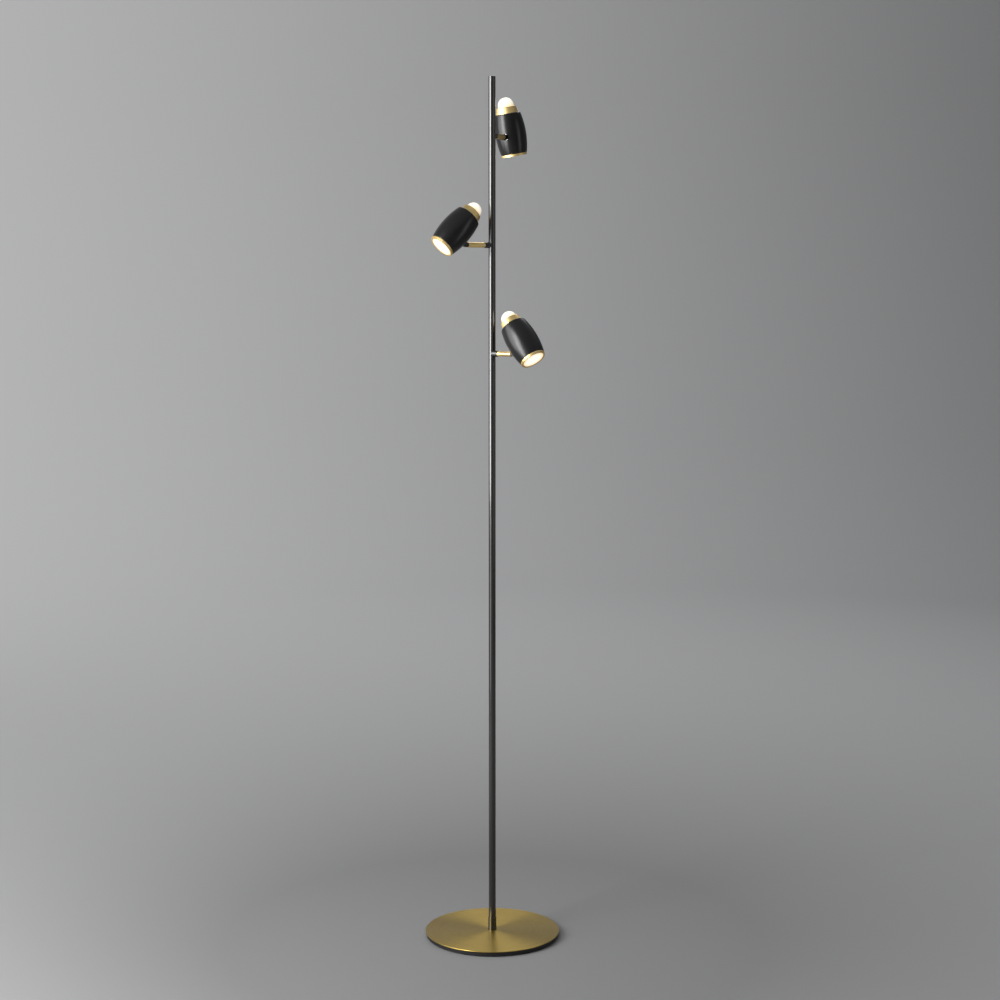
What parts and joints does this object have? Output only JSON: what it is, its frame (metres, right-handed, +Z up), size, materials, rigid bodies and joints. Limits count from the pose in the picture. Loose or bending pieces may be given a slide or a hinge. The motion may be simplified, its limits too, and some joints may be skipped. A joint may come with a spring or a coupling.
{
  "type": "spotlight floor lamp",
  "caption": "Floor lamp with a flat round base, a slim upright pole and bullet-shaped spot heads that swivel and tilt on short side arms, each with a lit lens and a glowing rear dome.",
  "frame": {"origin": "centre of the base's underside, on the pole's axis, at floor level", "axes": "+Z up along the pole; -Y is the side that the picture shows; +X to its right"},
  "size_m": [0.25, 0.25, 1.58],
  "materials": {
    "pad": "matt closed-cell foam",
    "cast_iron_paint": "black paint over a fine cast skin",
    "brushed_brass": "circular-brushed antique brass, lacquered",
    "black_nylon": "moulded black nylon",
    "plated_steel": "zinc plated",
    "blackened_steel": "blackened and oiled",
    "black_gloss": "gloss black lacquer",
    "pole_black": "semi-gloss black lacquer",
    "shell_black": "satin black lacquer on spun metal",
    "black_jacket": "matt jacket",
    "clear_nylon": "natural nylon",
    "satin_brass": "satin turned brass, lacquered",
    "white_lead": "white insulated wire",
    "frosted_lens": "frosted, lit from behind",
    "white_board": "white solder mask",
    "cast_aluminium": "turned, bare",
    "opal_dome": "opal, lit from inside"
  },
  "bodies": {
    "stand": {"base_pad": "pad", "base_weight": "cast_iron_paint", "base_cover": "brushed_brass", "cord_inlet_bush": "black_nylon", "base_washer": "plated_steel", "base_nut": "plated_steel", "pole_nipple": "plated_steel", "base_collar": "black_gloss", "pole_lower": "pole_black", "pole_middle": "pole_black", "pole_upper": "pole_black", "pole_couplers": "plated_steel", "pole_cap": "pole_black", "trunk_lead": "black_jacket", "crimp_splices": "clear_nylon", "arm_bosses": "black_gloss", "boss_grub_screws": "plated_steel", "swivel_washers": "clear_nylon"},
    "top_arm": {"top_arm_tube": "satin_brass", "top_arm_knuckle": "black_gloss", "top_pivot_screw": "blackened_steel", "top_arm_lead": "white_lead"},
    "top_head": {"top_head_knuckle": "black_gloss", "top_barrel": "shell_black", "top_front_ring": "satin_brass", "top_lens": "frosted_lens", "top_front_board": "white_board", "top_heat_sink": "cast_aluminium", "top_rear_band": "satin_brass", "top_dome": "opal_dome", "top_rear_board": "white_board", "top_head_lead": "white_lead"},
    "middle_arm": {"middle_arm_tube": "satin_brass", "middle_arm_knuckle": "black_gloss", "middle_pivot_screw": "blackened_steel", "middle_arm_lead": "white_lead"},
    "middle_head": {"middle_head_knuckle": "black_gloss", "middle_barrel": "shell_black", "middle_front_ring": "satin_brass", "middle_lens": "frosted_lens", "middle_front_board": "white_board", "middle_heat_sink": "cast_aluminium", "middle_rear_band": "satin_brass", "middle_dome": "opal_dome", "middle_rear_board": "white_board", "middle_head_lead": "white_lead"},
    "low_arm": {"low_arm_tube": "satin_brass", "low_arm_knuckle": "black_gloss", "low_pivot_screw": "blackened_steel", "low_arm_lead": "white_lead"},
    "low_head": {"low_head_knuckle": "black_gloss", "low_barrel": "shell_black", "low_front_ring": "satin_brass", "low_lens": "frosted_lens", "low_front_board": "white_board", "low_heat_sink": "cast_aluminium", "low_rear_band": "satin_brass", "low_dome": "opal_dome", "low_rear_board": "white_board", "low_head_lead": "white_lead"}
  },
  "joints": [
    {"name": "top_swivel", "type": "hinge", "parent": "stand", "child": "top_arm", "pos_m": [0.00634, 0.01359, 1.476], "axis": [-0.4226, -0.9063, 0], "range_deg": [-157, 143]},
    {"name": "top_tilt", "type": "hinge", "parent": "top_arm", "child": "top_head", "pos_m": [0.0224, 0.04803, 1.476], "axis": [0.8996, -0.4195, 0.1219], "range_deg": [-59, 41]},
    {"name": "middle_swivel", "type": "hinge", "parent": "stand", "child": "middle_arm", "pos_m": [-0.01348, -0.00658, 1.281], "axis": [0.8988, 0.4384, 0], "range_deg": [-147, 153]},
    {"name": "middle_tilt", "type": "hinge", "parent": "middle_arm", "child": "middle_head", "pos_m": [-0.04764, -0.02323, 1.281], "axis": [-0.4378, 0.8976, -0.0523], "range_deg": [-95, 5]},
    {"name": "low_swivel", "type": "hinge", "parent": "stand", "child": "low_arm", "pos_m": [0.01115, -0.01004, 1.086], "axis": [-0.7431, 0.6691, 0], "range_deg": [-150, 150]},
    {"name": "low_tilt", "type": "hinge", "parent": "low_arm", "child": "low_head", "pos_m": [0.03939, -0.03546, 1.086], "axis": [-0.6691, -0.7431, 0], "range_deg": [-89, 11]}
  ]
}
